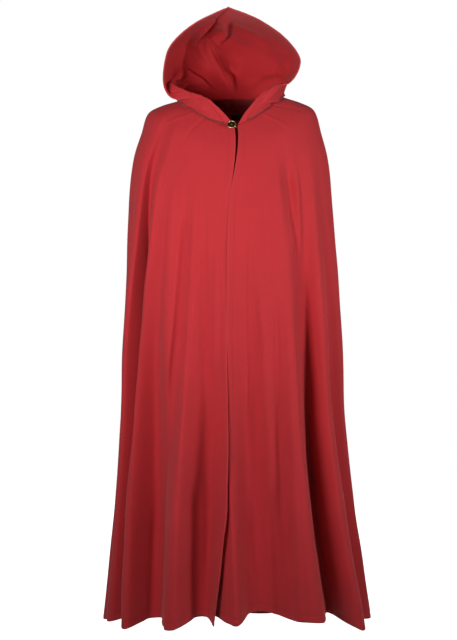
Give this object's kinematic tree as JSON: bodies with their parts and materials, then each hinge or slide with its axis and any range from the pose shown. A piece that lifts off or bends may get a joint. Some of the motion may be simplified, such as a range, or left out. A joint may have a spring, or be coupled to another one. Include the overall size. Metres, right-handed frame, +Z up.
{
  "type": "hooded medieval cape",
  "caption": "Long hooded cape with flared panels and a button at the neck, hollow and filled out as worn, open at the hem and the face.",
  "frame": {"origin": "middle of the neck opening, level with the shoulders that hold the cape up", "axes": "+Z up, -Y towards the front of the cape, +X towards the wearer's left"},
  "size_m": [0.6673, 0.5516, 1.5404],
  "materials": {
    "cotton": "matte, plain-woven red cotton with a soft nap",
    "tape": "matte woven tape",
    "label": "matte woven ribbon, bare",
    "antique_brass": "antiqued, bright on the rim and dark in the well",
    "cord": "matte twisted cord"
  },
  "bodies": {
    "root": {"front_right": "cotton", "front_left": "cotton", "back_right": "cotton", "back_left": "cotton", "hood_right": "cotton", "hood_left": "cotton", "neck_tape": "tape", "label": "label", "button": "antique_brass", "button_loop": "cord"}
  },
  "joints": []
}
